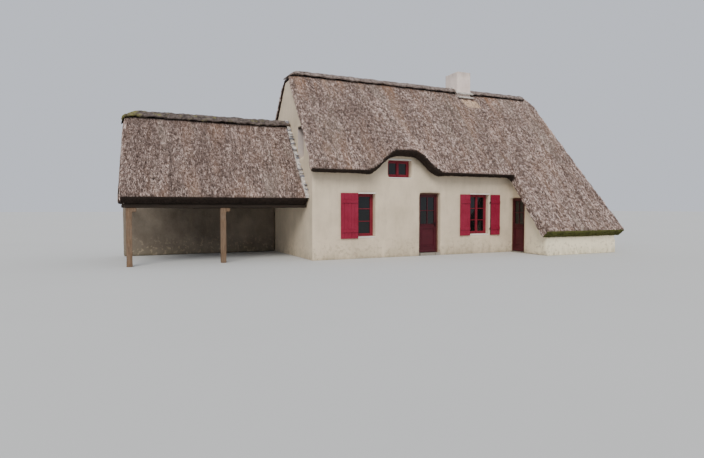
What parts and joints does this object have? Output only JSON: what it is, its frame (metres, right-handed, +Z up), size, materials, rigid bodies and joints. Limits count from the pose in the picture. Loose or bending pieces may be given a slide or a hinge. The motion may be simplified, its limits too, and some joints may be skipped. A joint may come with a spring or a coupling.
{
  "type": "thatched cottage",
  "caption": "Long rendered cottage under a steep thatched roof, with an eyebrow over its loft window, a low store under the swept-down slope and an open cart shed against its gable.",
  "frame": {"origin": "middle of the whole roof and wall footprint, on the ground", "axes": "+X along the ridge from the cart shed to the store, +Y from the front to the back, +Z up"},
  "size_m": [16.7849, 7.43, 7.02],
  "materials": {
    "plaster": "lime render on rubble stone, hand trowelled",
    "mortar": "slate flakes bedded in pale mortar",
    "reed": "weathered water reed thatch",
    "ridge_turf": "weathered earth and mortar ridge",
    "oak": "rough sawn, weathered",
    "maroon_paint": "dark red painted joinery",
    "crimson_paint": "crimson painted boards",
    "pane_glass": "clear window glass",
    "floor_slab": "flagged floor"
  },
  "bodies": {
    "root": {"front_wall_left": "plaster", "front_wall_over_door": "plaster", "front_wall_right": "plaster", "left_gable_wall": "plaster", "right_gable_wall": "plaster", "rear_wall": "plaster", "store_wall_beside_door": "plaster", "store_wall_over_door": "plaster", "store_low_wall": "plaster", "shed_rear_wall": "plaster", "chimney_stack": "plaster", "ground_floor": "floor_slab", "loft_floor": "oak", "front_thatch": "reed", "rear_thatch": "reed", "shed_front_thatch": "reed", "shed_rear_thatch": "reed", "ridge_cap_left": "ridge_turf", "ridge_cap_right": "ridge_turf", "shed_ridge_cap": "ridge_turf", "shed_roof_flashing": "mortar", "shed_post_left": "oak", "shed_post_middle": "oak", "shed_front_plate": "oak", "shed_rear_plate": "oak", "shed_truss_left": "oak", "shed_truss_middle": "oak", "left_window_frame": "maroon_paint", "left_window_glass": "pane_glass", "right_window_frame": "maroon_paint", "right_window_glass": "pane_glass", "loft_window_frame": "maroon_paint", "loft_window_glass": "pane_glass", "rear_left_window_frame": "maroon_paint", "rear_left_window_glass": "pane_glass", "rear_right_window_frame": "maroon_paint", "rear_right_window_glass": "pane_glass", "attic_hatch": "oak", "front_door_frame": "maroon_paint", "store_door_frame": "maroon_paint"},
    "front_door": {"front_door_leaf": "maroon_paint", "front_door_glass": "pane_glass"},
    "store_door": {"store_door_leaf": "maroon_paint", "store_door_glass": "pane_glass"},
    "left_shutter": {"left_window_shutter": "crimson_paint"},
    "right_window_left_leaf": {"right_window_left_shutter": "crimson_paint"},
    "right_window_right_leaf": {"right_window_right_shutter": "crimson_paint"}
  },
  "joints": [
    {"name": "front_door_hinge", "type": "hinge", "parent": "root", "child": "front_door", "pos_m": [0.966, -1.425, 0], "axis": [0, 0, 1], "range_deg": [0, 95]},
    {"name": "store_door_hinge", "type": "hinge", "parent": "root", "child": "store_door", "pos_m": [5.002, -1.721, 0], "axis": [0, 0, 1], "range_deg": [0, 90]},
    {"name": "left_shutter_hinge", "type": "hinge", "parent": "root", "child": "left_shutter", "pos_m": [-1.42, -1.71, 0], "axis": [0, 0, 1], "range_deg": [0, 180]},
    {"name": "right_window_left_hinge", "type": "hinge", "parent": "root", "child": "right_window_left_leaf", "pos_m": [2.98, -1.71, 0], "axis": [0, 0, 1], "range_deg": [0, 180]},
    {"name": "right_window_right_hinge", "type": "hinge", "parent": "root", "child": "right_window_right_leaf", "pos_m": [3.864, -1.71, 0], "axis": [0, 0, -1], "range_deg": [0, 180]}
  ]
}
